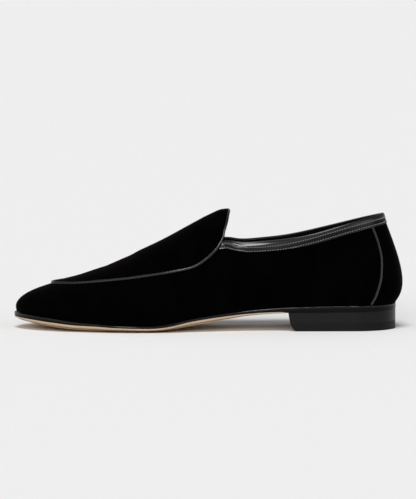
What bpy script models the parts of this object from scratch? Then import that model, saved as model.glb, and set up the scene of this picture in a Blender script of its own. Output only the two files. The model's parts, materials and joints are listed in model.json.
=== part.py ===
"""Velvet slipper loafer, a left shoe, as separate solids.

Metres. +Z is up, the toe points towards -X and the outer side towards -Y.
"""

import functools
import math

import bmesh
import bpy
import numpy as np

# Driving sizes of the bottom
SOLE_LENGTH = 0.2954
BALL_WIDTH = 0.100
HEEL_HEIGHT = 0.0146
TOE_SPRING = 0.0072
CROWN_HEIGHT = 0.0036
CROWN_WIDTH = 0.018
SOLE_THICKNESS = 0.0042
SOLE_LEDGE_WIDTH = 0.0030
EDGE_BEVEL_WIDTH = 0.0004
TOE_ROUND_LENGTH = 0.100
HEEL_CAP_RADIUS = 0.0310
INSOLE_THICKNESS = 0.0026
INSOLE_CLEARANCE_GAP = 0.0008
LIFT_THICKNESS = 0.0064
HEEL_LENGTH = 0.0835
HEEL_INSET_GAP = 0.0004
BREAST_SETBACK_LENGTH = 0.0062
BREAST_HOLLOW_DEPTH = 0.0030

# Driving sizes of the upper
WALL_THICKNESS = 0.0018
INSTEP_HEIGHT = 0.0764
BACK_HEIGHT = 0.0695
COLLAR_WIDTH = 0.0620
APRON_STEP_HEIGHT = 0.0012
PIPING_RADIUS = 0.00085
SEAM_CORD_RADIUS = 0.0008
SEAM_END_GAP = 0.0008
BINDING_HEIGHT = 0.0075
BINDING_THICKNESS = 0.0007
REBATE_DEPTH = 0.0004
BINDING_END_GAP = 0.0030
TOE_FAN_LENGTH = 0.110
TONGUE_SWEEP_LENGTH = 0.0042
TONGUE_LEAN_LENGTH = 0.0097
THROAT_LEAN_LENGTH = 0.0041

# Clearance between pieces that touch on the real shoe
GAP = 0.0003

# How finely the surfaces are divided
OUTLINE_SAMPLES = 600
FRONT_COLUMNS = 26
BACK_COLUMNS = 20
TOE_CROWDING = 1.4
HEEL_CROWDING = 1.25
WALL_ROWS = 8
APRON_ROWS = 6
SOLE_COLUMNS = 46
SOLE_CROWDING = 0.5
HEEL_COLUMNS = 32
BREAST_COLUMNS = 8
PIPING_POINTS = 96
SEAM_CORD_POINTS = 18
CORD_SIDES = 8

# Ends of the sole's middle line, as shares of SOLE_LENGTH, and its rows across, as shares of CROWN_WIDTH
SPINE_BACK = 0.085
SPINE_FRONT = 0.945
OUTSOLE_ROWS = (0.0, 0.22, 0.5, 1.0)
INSOLE_ROWS = (0.0, 0.4, 1.0)

# Smoothing of the surfaces. Edges sharper than this angle stay crisp in the shading.
CRISP_ANGLE = 35
TURN_REACH = 0.004
SHARE_REACH = 0.01
MERGE_DISTANCE = 1e-6

# Sections of the sole from the heel's back to the toe.
# along: share of SOLE_LENGTH. outer, inner: share of BALL_WIDTH. spring: share of TOE_SPRING.
# pitch: share of HEEL_HEIGHT. rise: share of CROWN_HEIGHT.
# edge: share of SOLE_THICKNESS. ledge: share of SOLE_LEDGE_WIDTH.
SOLE = [
    dict(along=0.000, outer=0.310, inner=-0.310, spring=0.00, pitch=1.03, rise=0.00, edge=1.04, ledge=0.20),
    dict(along=0.120, outer=0.318, inner=-0.312, spring=0.00, pitch=1.00, rise=0.00, edge=1.18, ledge=0.20),
    dict(along=0.280, outer=0.328, inner=-0.292, spring=0.00, pitch=0.97, rise=0.06, edge=0.95, ledge=0.25),
    dict(along=0.360, outer=0.335, inner=-0.268, spring=0.00, pitch=0.84, rise=0.37, edge=0.78, ledge=0.30),
    dict(along=0.450, outer=0.368, inner=-0.275, spring=0.00, pitch=0.54, rise=0.88, edge=0.66, ledge=0.40),
    dict(along=0.530, outer=0.425, inner=-0.345, spring=0.00, pitch=0.26, rise=1.14, edge=0.62, ledge=0.50),
    dict(along=0.610, outer=0.480, inner=-0.430, spring=0.00, pitch=0.03, rise=0.80, edge=0.66, ledge=0.55),
    dict(along=0.640, outer=0.492, inner=-0.458, spring=0.00, pitch=0.00, rise=0.76, edge=0.60, ledge=0.58),
    dict(along=0.730, outer=0.498, inner=-0.503, spring=0.00, pitch=0.00, rise=0.90, edge=0.60, ledge=0.60),
    dict(along=0.810, outer=0.487, inner=-0.515, spring=0.00, pitch=0.00, rise=1.20, edge=0.66, ledge=0.60),
    dict(along=0.900, outer=0.495, inner=-0.535, spring=0.28, pitch=0.00, rise=1.14, edge=0.92, ledge=0.60),
    dict(along=0.955, outer=0.494, inner=-0.536, spring=0.62, pitch=0.00, rise=0.88, edge=0.96, ledge=0.60),
    dict(along=1.000, outer=0.450, inner=-0.490, spring=1.00, pitch=0.00, rise=0.35, edge=0.96, ledge=0.60),
]

# Ridge of the instep from the tongue's tip to the toe, over the feather line.
# along: share of SOLE_LENGTH. height: share of INSTEP_HEIGHT. inner: share of BALL_WIDTH, to the inner side.
INSTEP = [
    dict(along=0.430, height=0.995, inner=0.020),
    dict(along=0.452, height=1.002, inner=0.022),
    dict(along=0.475, height=0.984, inner=0.024),
    dict(along=0.534, height=0.898, inner=0.028),
    dict(along=0.597, height=0.813, inner=0.032),
    dict(along=0.660, height=0.712, inner=0.034),
    dict(along=0.723, height=0.588, inner=0.034),
    dict(along=0.786, height=0.478, inner=0.032),
    dict(along=0.849, height=0.384, inner=0.029),
    dict(along=0.900, height=0.312, inner=0.026),
]
RIDGE_START = 0.870

# Edge of the collar from the back seam to the throat.
# along: share of SOLE_LENGTH. outer, inner: share of COLLAR_WIDTH. height over the feather line and
# inner_drop, how much lower the inner side lies: share of BACK_HEIGHT.
COLLAR = [
    dict(along=0.034, outer=0.000, inner=0.000, height=0.985, inner_drop=0.000),
    dict(along=0.046, outer=0.160, inner=0.160, height=0.974, inner_drop=0.010),
    dict(along=0.081, outer=0.275, inner=0.270, height=0.940, inner_drop=0.018),
    dict(along=0.134, outer=0.365, inner=0.355, height=0.881, inner_drop=0.019),
    dict(along=0.212, outer=0.445, inner=0.430, height=0.797, inner_drop=0.014),
    dict(along=0.290, outer=0.490, inner=0.465, height=0.735, inner_drop=0.012),
    dict(along=0.360, outer=0.500, inner=0.470, height=0.722, inner_drop=0.014),
    dict(along=0.420, outer=0.485, inner=0.450, height=0.760, inner_drop=0.028),
]
THROAT_ALONG = 0.456

# How the wall leaves the sole and reaches the ridge in front of the throat.
# outer_flare, inner_flare: share of BALL_WIDTH. climb: share of the section's height.
# outer_crown, inner_crown: share of the section's half width.
FOREPART = [
    dict(along=0.456, outer_flare=0.100, inner_flare=0.190, climb=0.41, outer_crown=0.70, inner_crown=0.84),
    dict(along=0.560, outer_flare=0.092, inner_flare=0.120, climb=0.40, outer_crown=0.62, inner_crown=0.70),
    dict(along=0.680, outer_flare=0.075, inner_flare=0.075, climb=0.40, outer_crown=0.56, inner_crown=0.60),
    dict(along=0.800, outer_flare=0.062, inner_flare=0.062, climb=0.44, outer_crown=0.56, inner_crown=0.58),
    dict(along=0.920, outer_flare=0.052, inner_flare=0.052, climb=0.48, outer_crown=0.56, inner_crown=0.56),
    dict(along=1.000, outer_flare=0.048, inner_flare=0.048, climb=0.50, outer_crown=0.54, inner_crown=0.54),
]

# How the wall leaves the sole and reaches the collar behind the throat.
# way: share of the way from the back seam to the throat. Other columns: share of BACK_HEIGHT.
QUARTER = [
    dict(way=0.00, foot_out=0.195, foot_up=0.20, rim_out=0.137, rim_down=0.385),
    dict(way=0.35, foot_out=0.130, foot_up=0.25, rim_out=0.085, rim_down=0.350),
    dict(way=0.72, foot_out=0.095, foot_up=0.24, rim_out=0.060, rim_down=0.260),
    dict(way=1.00, foot_out=0.090, foot_up=0.24, rim_out=0.120, rim_down=0.230),
]

# Seam between apron and vamp as seen from the side.
# along: share of SOLE_LENGTH. height over the floor and inner_drop: share of INSTEP_HEIGHT.
APRON_SEAM = [
    dict(along=0.440, height=0.960, inner_drop=0.030),
    dict(along=0.456, height=0.915, inner_drop=0.030),
    dict(along=0.466, height=0.866, inner_drop=0.028),
    dict(along=0.482, height=0.800, inner_drop=0.024),
    dict(along=0.505, height=0.726, inner_drop=0.018),
    dict(along=0.532, height=0.666, inner_drop=0.012),
    dict(along=0.578, height=0.622, inner_drop=0.006),
    dict(along=0.633, height=0.582, inner_drop=0.002),
    dict(along=0.706, height=0.534, inner_drop=0.000),
    dict(along=0.780, height=0.494, inner_drop=0.000),
    dict(along=0.853, height=0.462, inner_drop=0.000),
    dict(along=0.905, height=0.448, inner_drop=0.000),
]

# Raised seam beside the back strip as seen from the side.
# height over the feather line: share of BACK_HEIGHT. along: share of SOLE_LENGTH.
BACK_SEAM = [
    dict(height=0.000, along=0.066),
    dict(height=0.060, along=0.056),
    dict(height=0.170, along=0.044),
    dict(height=0.330, along=0.034),
    dict(height=0.480, along=0.032),
    dict(height=0.640, along=0.038),
    dict(height=0.780, along=0.048),
    dict(height=0.940, along=0.064),
]
BACK_SEAM_FOOT = 0.025
BACK_SEAM_LIMIT = 0.940

# Shares that shape the vamp, the collar and the piping
THROAT_BLEND = 0.38
TOE_FAN_EASE = 0.95
QUARTER_BLEND = 0.40
THROAT_REBATE = 0.88
PIPING_THROAT = 0.79
FOLD_SHOULDER_OUT = 0.60
FOLD_SHOULDER_UP = 0.75

# Colours are linear red, green and blue
VELVET = dict(colour=(0.006, 0.006, 0.007), roughness=0.95)
PIPING_LEATHER = dict(colour=(0.012, 0.012, 0.013), roughness=0.35)
BINDING_LEATHER = dict(colour=(0.012, 0.012, 0.013), roughness=0.38)
SOLE_LEATHER = dict(colour=(0.50, 0.33, 0.19), roughness=0.60)
SOCK_LEATHER = dict(colour=(0.020, 0.020, 0.021), roughness=0.50)
HEEL_LEATHER = dict(colour=(0.012, 0.012, 0.012), roughness=0.35)
LIFT_RUBBER = dict(colour=(0.014, 0.014, 0.014), roughness=0.50)

# Profile of the heel's breast. height: share of HEEL_HEIGHT. back: share of BREAST_SETBACK_LENGTH.
BREAST = [
    dict(height=0.00, back=1.00),
    dict(height=0.06, back=0.78),
    dict(height=0.20, back=0.48),
    dict(height=0.40, back=0.26),
    dict(height=1.00, back=0.00),
]


def smooth_column(table, across, down):
    """A curve through one column of a table that never overshoots its rows."""
    x = np.array([row[across] for row in table], float)
    y = np.array([row[down] for row in table], float)
    step = np.diff(x)
    slope = np.diff(y) / step
    tangent = np.zeros(len(x))
    for i in range(1, len(x) - 1):
        if slope[i - 1] * slope[i] > 0:
            before = 2 * step[i] + step[i - 1]
            after = step[i] + 2 * step[i - 1]
            tangent[i] = (before + after) / (before / slope[i - 1] + after / slope[i])
    tangent[0] = slope[0]
    tangent[-1] = slope[-1]

    def curve(at):
        at = min(max(at, x[0]), x[-1])
        i = min(int(np.searchsorted(x, at, side="right")) - 1, len(step) - 1)
        t = (at - x[i]) / step[i]
        keep = (1 + 2 * t) * (1 - t) ** 2
        lead = t * (1 - t) ** 2 * step[i]
        take = t * t * (3 - 2 * t)
        trail = t * t * (t - 1) * step[i]
        return keep * y[i] + lead * tangent[i] + take * y[i + 1] + trail * tangent[i + 1]

    return curve


def spline_through(points):
    """A natural cubic spline through points, as a function of the share of its chord length."""
    points = np.array(points, float)
    chord = np.linalg.norm(np.diff(points, axis=0), axis=1)
    knots = np.concatenate([[0.0], np.cumsum(chord)]) / chord.sum()
    count = len(points)
    step = np.diff(knots)
    system = np.eye(count)
    right = np.zeros_like(points)
    for i in range(1, count - 1):
        system[i, i - 1 : i + 2] = [step[i - 1], 2 * (step[i - 1] + step[i]), step[i]]
        rise = (points[i + 1] - points[i]) / step[i] - (points[i] - points[i - 1]) / step[i - 1]
        right[i] = 6 * rise
    bend = np.linalg.solve(system, right)

    def curve(at):
        at = min(max(at, 0.0), 1.0)
        i = min(int(np.searchsorted(knots, at, side="right")) - 1, count - 2)
        a = (knots[i + 1] - at) / step[i]
        b = (at - knots[i]) / step[i]
        bow = ((a**3 - a) * bend[i] + (b**3 - b) * bend[i + 1]) * step[i] ** 2 / 6
        return a * points[i] + b * points[i + 1] + bow

    return curve


def root(function, low, high):
    """Where a function that changes sign between low and high is zero."""
    sign = function(low) > 0
    for _ in range(40):
        middle = (low + high) / 2
        if (function(middle) > 0) == sign:
            low = middle
        else:
            high = middle
    return (low + high) / 2


def unit(vector):
    return vector / np.linalg.norm(vector)


def clamp(value, low=0.0, high=1.0):
    return min(max(value, low), high)


def ease(value):
    value = clamp(value)
    return value * value * (3 - 2 * value)


def columns_of(table, across):
    return {name: smooth_column(table, across, name) for name in table[0] if name != across}


sole = columns_of(SOLE, "along")
instep = columns_of(INSTEP, "along")
forepart = columns_of(FOREPART, "along")
quarter = columns_of(QUARTER, "way")
apron_seam = columns_of(APRON_SEAM, "along")
back_seam = columns_of(BACK_SEAM, "height")
breast = columns_of(BREAST, "height")


# Bottom of the shoe: stations, heights and the outline in plan


def x_at(along):
    """The heel's back is at +X and the toe at -X."""
    return SOLE_LENGTH * (0.5 - along)


def along_at(x):
    return 0.5 - x / SOLE_LENGTH


def low_line(along):
    """Height of the outsole's lowest strip: flat under the ball, up at the toe and over the heel."""
    return sole["spring"](along) * TOE_SPRING + sole["pitch"](along) * HEEL_HEIGHT


def edge_foot(along):
    """Height of the lower corner of the outsole's edge."""
    return low_line(along) + sole["rise"](along) * CROWN_HEIGHT


def edge_height(along):
    return sole["edge"](along) * SOLE_THICKNESS


def feather_height(along):
    """Height at which the upper's wall starts, just over the outsole's edge."""
    return edge_foot(along) + edge_height(along) + GAP


def cap_share(distance, length):
    """Share of the full width at a distance from an end that is half an ellipse of this length."""
    if distance >= length:
        return 1.0
    return math.sqrt(max(0.0, 1.0 - (1.0 - distance / length) ** 2))


def sole_middle(along):
    """Across position of the middle of the sole. The inner side is at +Y."""
    return -(sole["outer"](along) + sole["inner"](along)) / 2 * BALL_WIDTH


def sole_half_width(along):
    half = (sole["outer"](along) - sole["inner"](along)) / 2 * BALL_WIDTH
    half *= cap_share(along * SOLE_LENGTH, HEEL_CAP_RADIUS)
    return half * cap_share((1.0 - along) * SOLE_LENGTH, TOE_ROUND_LENGTH)


def outline_points():
    """The outsole's outline from the heel's back, along the outer side to the toe, and back."""
    turns = [math.pi * i / OUTLINE_SAMPLES for i in range(OUTLINE_SAMPLES + 1)]
    stations = [(1.0 - math.cos(turn)) / 2 for turn in turns]
    outer = [(x_at(s), sole_middle(s) - sole_half_width(s)) for s in stations]
    inner = [(x_at(s), sole_middle(s) + sole_half_width(s)) for s in reversed(stations)]
    return np.array(outer + inner[1:])


OUTLINE = outline_points()
OUTLINE_RUN = np.concatenate([[0.0], np.cumsum(np.linalg.norm(np.diff(OUTLINE, axis=0), axis=1))])
OUTLINE_LENGTH = OUTLINE_RUN[-1]
TOE_TURN = OUTLINE_RUN[OUTLINE_SAMPLES] / OUTLINE_LENGTH


def outline(turn):
    """Point on the outline at a share of its length, from the heel's back round the outer side."""
    at = (turn % 1.0) * OUTLINE_LENGTH
    return np.array([np.interp(at, OUTLINE_RUN, OUTLINE[:, i]) for i in range(2)])


def outward(turn):
    """The outline's outward normal in plan."""
    heading = unit(outline(turn + TURN_REACH) - outline(turn - TURN_REACH))
    return np.array([-heading[1], heading[0]])


def outline_along(turn):
    return along_at(outline(turn)[0])


def turn_at(along, outer=True):
    """Where the outline passes a station on one side."""
    low, high = (0.0, TOE_TURN) if outer else (TOE_TURN, 1.0)
    return root(lambda turn: outline_along(turn) - along, low, high)


# The last: the form that the upper is stretched over


def feather_point(turn):
    """Where the upper's outer face meets the outsole."""
    inset = sole["ledge"](outline_along(turn)) * SOLE_LEDGE_WIDTH
    plan = outline(turn) - outward(turn) * inset
    return np.array([plan[0], plan[1], feather_height(outline_along(turn))])


def ridge_point(along):
    """Top of the instep or toe at a station."""
    height = feather_height(along) + instep["height"](along) * INSTEP_HEIGHT
    return np.array([x_at(along), instep["inner"](along) * BALL_WIDTH, height])


THROAT_FOOT = THROAT_ALONG + THROAT_LEAN_LENGTH / SOLE_LENGTH
THROAT_OUTER = turn_at(THROAT_FOOT)
THROAT_INNER = turn_at(THROAT_FOOT, outer=False)


def is_outer(turn):
    return (turn % 1.0) <= TOE_TURN


def throat_nearness(turn):
    """1 at the throat, falling to 0 over the rear of the vamp."""
    throat = THROAT_OUTER if is_outer(turn) else THROAT_INNER
    away = (turn - throat) / (TOE_TURN - throat)
    return clamp(1.0 - away / THROAT_BLEND) ** 2


def ridge_station(turn):
    """The ridge station that a front column runs up to. Over the toe the columns fan out."""
    side = 1 if is_outer(turn) else -1
    distance = abs(TOE_TURN - turn) * OUTLINE_LENGTH
    if distance >= TOE_FAN_LENGTH:
        return outline_along(turn) - TONGUE_LEAN_LENGTH / SOLE_LENGTH * throat_nearness(turn)
    fan_end = outline_along(TOE_TURN - side * TOE_FAN_LENGTH / OUTLINE_LENGTH)
    power = TOE_FAN_LENGTH / SOLE_LENGTH / (RIDGE_START - fan_end) * TOE_FAN_EASE
    return RIDGE_START - (RIDGE_START - fan_end) * (distance / TOE_FAN_LENGTH) ** power


def ridge_slope(station):
    """Rise of the ridge for each metre towards +X."""
    ahead = ridge_point(station - TURN_REACH)
    behind = ridge_point(station + TURN_REACH)
    return (ahead[2] - behind[2]) / (ahead[0] - behind[0])


@functools.lru_cache(maxsize=None)
def front_handles(turn):
    """The four control points of a front column, from the feather line to the ridge."""
    foot = feather_point(turn)
    along = outline_along(turn)
    station = ridge_station(turn)
    top = ridge_point(station)
    side = "outer" if is_outer(turn) else "inner"
    if abs(turn - TOE_TURN) < 1e-9:
        side = "outer"
    flare = outward(turn) * forepart[side + "_flare"](along) * BALL_WIDTH
    climb = forepart["climb"](along) * (top[2] - foot[2])
    low = foot + np.array([flare[0], flare[1], climb])
    reach = (foot[:2] - top[:2]) * forepart[side + "_crown"](along)
    fan = clamp(1.0 - abs(turn - TOE_TURN) * OUTLINE_LENGTH / TOE_FAN_LENGTH)
    high = top + np.array([reach[0], reach[1], ridge_slope(station) * reach[0] * fan])
    high[0] += TONGUE_SWEEP_LENGTH * throat_nearness(turn)
    return [foot, low, high, top]


def bezier(handles, t):
    a, b, c, d = handles
    s = 1.0 - t
    return s**3 * a + 3 * s * s * t * b + 3 * s * t * t * c + t**3 * d


def lower_part(handles, t):
    """Control points of the part of a cubic that ends at t."""
    a, b, c, d = handles
    ab = a + (b - a) * t
    bc = b + (c - b) * t
    cd = c + (d - c) * t
    abc = ab + (bc - ab) * t
    bcd = bc + (cd - bc) * t
    return [a, ab, abc, abc + (bcd - abc) * t]


@functools.lru_cache(maxsize=None)
def seam_share(turn):
    """Share of a front column at which it crosses the apron's seam."""
    handles = front_handles(turn)
    dropped = 0.0 if is_outer(turn) else 1.0

    def over(t):
        point = bezier(handles, t)
        along = along_at(point[0])
        share = apron_seam["height"](along) - dropped * apron_seam["inner_drop"](along)
        return point[2] - share * INSTEP_HEIGHT

    return root(over, 0.15, 0.999)


def throat_corner(throat):
    """Where the collar meets the apron's seam."""
    return bezier(front_handles(throat), seam_share(throat))


def collar_point(row, is_inner):
    across = COLLAR_WIDTH * (row["inner"] if is_inner else -row["outer"])
    drop = row["inner_drop"] if is_inner else 0.0
    height = feather_height(row["along"]) + (row["height"] - drop) * BACK_HEIGHT
    return np.array([x_at(row["along"]), across, height])


def collar_line():
    """The collar's edge from the inner throat round the back to the outer throat."""
    inner = [collar_point(row, True) for row in COLLAR[::-1]]
    outer = [collar_point(row, False) for row in COLLAR[1:]]
    return spline_through([throat_corner(THROAT_INNER), *inner, *outer, throat_corner(THROAT_OUTER)])


collar = collar_line()
COLLAR_BACK = root(lambda share: collar(share)[1], 0.3, 0.7)


# Behind the throat a turn is counted from the back seam and is below zero on the inner side
BACK_LIMITS = (THROAT_INNER - 1.0, THROAT_OUTER)
FRONT_LIMITS = (THROAT_OUTER, THROAT_INNER)


@functools.lru_cache(maxsize=None)
def back_handles(turn):
    """The four control points of a back column, from the feather line to the collar."""
    way = turn / BACK_LIMITS[1] if turn > 0 else -turn / BACK_LIMITS[0]
    foot = feather_point(turn)
    rim = collar(COLLAR_BACK + way * (1.0 - COLLAR_BACK if way > 0 else COLLAR_BACK))
    out = outward(turn)
    size = {name: curve(abs(way)) * BACK_HEIGHT for name, curve in quarter.items()}
    low = foot + np.array([out[0] * size["foot_out"], out[1] * size["foot_out"], size["foot_up"]])
    high = rim + np.array([out[0] * size["rim_out"], out[1] * size["rim_out"], -size["rim_down"]])
    throat = THROAT_OUTER if way > 0 else THROAT_INNER
    met = lower_part(front_handles(throat), seam_share(throat))
    near = ease(1.0 - (1.0 - abs(way)) / QUARTER_BLEND)
    low += (foot + met[1] - met[0] - low) * near
    high += (rim + met[2] - met[3] - high) * near
    return [foot, low, high, rim]


def handles_of(turn, front):
    return front_handles(turn) if front else back_handles(turn)


def wall_normal(turn, t, front):
    """Outward normal of the last. Along the feather line it is level, and on the ridge it stands over it."""
    if t <= 0.0:
        out = outward(turn)
        return np.array([out[0], out[1], 0.0])
    if front and t >= 1.0:
        slope = ridge_slope(ridge_station(turn))
        return unit(np.array([-slope, 0.0, 1.0]))
    limits = FRONT_LIMITS if front else BACK_LIMITS
    before = handles_of(clamp(turn - TURN_REACH, *limits), front)
    after = handles_of(clamp(turn + TURN_REACH, *limits), front)
    here = handles_of(turn, front)
    up = bezier(here, min(t + SHARE_REACH, 1.0)) - bezier(here, t - SHARE_REACH)
    return unit(np.cross(up, bezier(after, t) - bezier(before, t)))


def last_point(turn, t, front, offset=0.0):
    """Point on the last, or at a distance outside it."""
    point = bezier(handles_of(turn, front), t)
    if offset:
        point = point + wall_normal(turn, t, front) * offset
    return point


# Solids from faces


def finish(name, faces, leather):
    """One closed solid from faces, each a list of points."""
    mesh = bpy.data.meshes.new(name)
    work = bmesh.new()
    for face in faces:
        work.faces.new([work.verts.new(point) for point in face])
    bmesh.ops.remove_doubles(work, verts=work.verts, dist=MERGE_DISTANCE)
    bmesh.ops.recalc_face_normals(work, faces=work.faces)
    work.to_mesh(mesh)
    work.free()
    mesh.shade_smooth()
    mesh.set_sharp_from_angle(angle=math.radians(CRISP_ANGLE))
    mesh.materials.append(material(name, leather))
    piece = bpy.data.objects.new(name, mesh)
    bpy.context.scene.collection.objects.link(piece)
    return piece


def material(name, leather):
    made = bpy.data.materials.new(name)
    made.use_nodes = True
    shader = made.node_tree.nodes["Principled BSDF"]
    shader.inputs["Base Color"].default_value = (*leather["colour"], 1.0)
    shader.inputs["Roughness"].default_value = leather["roughness"]
    shader.inputs["Metallic"].default_value = 0.0
    return made


def strip(first, second):
    """Quads between two rows of points."""
    pairs = range(len(first) - 1)
    return [[first[i], first[i + 1], second[i + 1], second[i]] for i in pairs]


def loft(rows, closed=False):
    faces = []
    for first, second in zip(rows, rows[1:]):
        if closed:
            first, second = [*first, first[0]], [*second, second[0]]
        faces += strip(first, second)
    return faces


def tube(path, radius, closed):
    """A round cord along a path."""
    count = len(path)
    rings = []
    side = None
    for i in range(count):
        ahead = path[(i + 1) % count] if closed or i + 1 < count else path[i]
        behind = path[i - 1] if closed or i > 0 else path[i]
        heading = unit(ahead - behind)
        if side is None:
            side = np.cross(heading, [0.0, 0.0, 1.0])
        side = unit(side - heading * np.dot(side, heading))
        other = np.cross(heading, side)
        angles = [2 * math.pi * k / CORD_SIDES for k in range(CORD_SIDES)]
        rings.append([path[i] + (side * math.cos(a) + other * math.sin(a)) * radius for a in angles])
    if not closed:
        return loft(rings, closed=True) + [rings[0][::-1], rings[-1]]
    twist = best_twist(rings[-1], rings[0])
    return loft([*rings, rings[0][twist:] + rings[0][:twist]], closed=True)


def best_twist(last, first):
    """How many sides the last ring is turned against the first."""
    misfit = [sum(np.linalg.norm(last[k] - first[(k + s) % CORD_SIDES]) for k in range(CORD_SIDES))
              for s in range(CORD_SIDES)]
    return int(np.argmin(misfit))


# Upper


def front_turns():
    """Columns from the outer throat round the toe to the inner throat, in pairs that share a ridge point."""
    left = [(1.0 - i / FRONT_COLUMNS) ** TOE_CROWDING for i in range(FRONT_COLUMNS)]
    outer = [TOE_TURN - (TOE_TURN - THROAT_OUTER) * share for share in left]
    inner = []
    for turn in outer:
        station = ridge_station(turn)
        inner.append(root(lambda t: ridge_station(t) - station, TOE_TURN, THROAT_INNER))
    inner[0] = THROAT_INNER
    return outer + [TOE_TURN] + inner[::-1]


def back_turns():
    """Columns from behind the inner throat round the heel's back to behind the outer throat."""
    ways = [(i / BACK_COLUMNS) ** HEEL_CROWDING for i in range(BACK_COLUMNS + 1)]
    short = BINDING_END_GAP / OUTLINE_LENGTH
    inner = [(BACK_LIMITS[0] + short) * way for way in ways[:0:-1]]
    return inner + [(BACK_LIMITS[1] - short) * way for way in ways]


@functools.lru_cache(maxsize=None)
def share_below_rim(turn, distance):
    """Share of a back column at a distance below the collar, measured along the wall."""
    handles = back_handles(turn)
    rim = handles[3]
    return root(lambda t: np.linalg.norm(bezier(handles, t) - rim) - distance, 0.4, 1.0)


def wall_shares(turn, front):
    """Shares of the rows from the feather line to the seam or collar. The rebate's row comes twice."""
    if front:
        top = seam_share(turn)
        rebate = top * THROAT_REBATE
    else:
        top = 1.0
        rebate = share_below_rim(turn, BINDING_HEIGHT)
    rows = [rebate * (i / (WALL_ROWS - 2)) for i in range(WALL_ROWS - 1)]
    return rows + [rebate, (rebate + top) / 2, top]


def wall_column(turn, front, inside):
    """Points of one column of the wall, with the rebate under the collar's binding."""
    points = []
    for i, share in enumerate(wall_shares(turn, front)):
        sunk = REBATE_DEPTH if not front and i >= WALL_ROWS - 1 else 0.0
        offset = -WALL_THICKNESS + sunk if inside else -sunk
        points.append(last_point(turn, share, front, offset))
    return points


def apron_column(turn, inside):
    """Points of one column of the apron, from its seam to the ridge."""
    start = seam_share(turn)
    offset = -WALL_THICKNESS if inside else APRON_STEP_HEIGHT
    shares = [start + (1.0 - start) * i / APRON_ROWS for i in range(APRON_ROWS)]
    return [last_point(turn, share, True, offset) for share in shares + [1.0]]


def make_upper():
    """Vamp, quarters, back strip and raised apron with its tongue, as one hollow wall."""
    front = front_turns()
    columns = [(turn, True) for turn in front] + [(turn, False) for turn in back_turns()]
    outside = [wall_column(turn, is_front, False) for turn, is_front in columns]
    inside = [wall_column(turn, is_front, True) for turn, is_front in columns]
    ring = [*range(len(columns)), 0]
    faces = loft([outside[i] for i in ring]) + loft([inside[i][::-1] for i in ring])
    faces += strip([outside[i][0] for i in ring], [inside[i][0] for i in ring])
    rim = ring[len(front) - 1 :]
    faces += strip([outside[i][-1] for i in rim], [inside[i][-1] for i in rim])
    apron = [apron_column(turn, False) for turn in front]
    lining = [apron_column(turn, True) for turn in front]
    faces += loft(apron) + loft(lining)
    faces += strip([outside[i][-1] for i in range(len(front))], [column[0] for column in apron])
    for end in (0, len(front) - 1):
        faces.append([apron[end][0], apron[end][1], lining[end][1], lining[end][0], outside[end][-1]])
        faces += strip(apron[end][1:], lining[end][1:])
    return finish("upper", faces, VELVET)


# Cords and binding on the upper


def apron_edge(share):
    """Place on the apron's edge: 0 at the toe, 1 at the tongue's tip on the outer side, -1 on the inner."""
    throat = THROAT_OUTER if share > 0 else THROAT_INNER
    if abs(share) <= PIPING_THROAT:
        turn = TOE_TURN + (throat - TOE_TURN) * abs(share) / PIPING_THROAT
        return turn, seam_share(turn)
    climb = (abs(share) - PIPING_THROAT) / (1.0 - PIPING_THROAT)
    start = seam_share(throat)
    return throat, start + (1.0 - start) * climb


def piping_centre(share):
    """Centre of the piping, which lies against the apron's edge and on the vamp."""
    turn, t = apron_edge(share)
    ahead = last_point(*apron_edge(min(share + TURN_REACH, 1.0)), True)
    behind = last_point(*apron_edge(max(share - TURN_REACH, -1.0)), True)
    normal = wall_normal(turn, t, True)
    away = unit(np.cross(ahead - behind, normal))
    lift = PIPING_RADIUS + GAP
    return last_point(turn, t, True) + (normal + away) * lift


def make_apron_piping():
    """Leather piping round the apron and up the tongue's edge, as one closed loop."""
    half = [i / (PIPING_POINTS // 2) for i in range(PIPING_POINTS // 2 + 1)]
    path = [piping_centre(-share) for share in half[:0:-1]] + [piping_centre(share) for share in half[:-1]]
    return finish("apron_piping", tube(path, PIPING_RADIUS, closed=True), PIPING_LEATHER)


def binding_column(turn):
    """Section of the folded leather over the collar's edge: outer leg, fold and inner leg."""
    outer = -REBATE_DEPTH + GAP
    inner = -WALL_THICKNESS + REBATE_DEPTH - GAP
    skin = BINDING_THICKNESS
    foot = BINDING_HEIGHT - GAP
    rim = last_point(turn, 1.0, False)
    rise = unit(rim - last_point(turn, 1.0 - SHARE_REACH, False))
    normal = wall_normal(turn, 1.0, False)
    legs = [share_below_rim(turn, foot), share_below_rim(turn, foot / 2)]

    def leg(offset):
        return [last_point(turn, share, False, offset) for share in legs]

    def over(offset, height):
        return rim + normal * offset + rise * height

    outer_leg = leg(outer + skin) + [over(outer + skin, 0.0)]
    fold = [
        over(outer + skin * FOLD_SHOULDER_OUT, GAP + skin * FOLD_SHOULDER_UP),
        over((outer + inner) / 2, GAP + skin),
        over(inner - skin * FOLD_SHOULDER_OUT, GAP + skin * FOLD_SHOULDER_UP),
    ]
    inner_leg = [over(inner - skin, 0.0)] + leg(inner - skin)[::-1]
    back_again = leg(inner) + [over(inner, GAP), over(outer, GAP)] + leg(outer)[::-1]
    return outer_leg + fold + inner_leg + back_again


def make_topline_binding():
    """Leather folded over the collar's edge, from one side of the tongue to the other."""
    rings = [binding_column(turn) for turn in back_turns()]
    faces = loft(rings, closed=True) + [rings[0][::-1], rings[-1]]
    return finish("topline_binding", faces, BINDING_LEATHER)


def back_seam_place(height, outer):
    """Turn and share at which the seam crosses a height over the feather line."""
    target = x_at(back_seam["along"](height))

    def share_at(turn):
        handles = back_handles(turn)
        level = handles[0][2] + height * BACK_HEIGHT
        return root(lambda t: bezier(handles, t)[2] - level, 0.0, 1.0)

    def ahead(turn):
        return bezier(back_handles(turn), share_at(turn))[0] - target

    turn = root(ahead, 0.0, BACK_LIMITS[1] if outer else BACK_LIMITS[0])
    return turn, share_at(turn)


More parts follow.
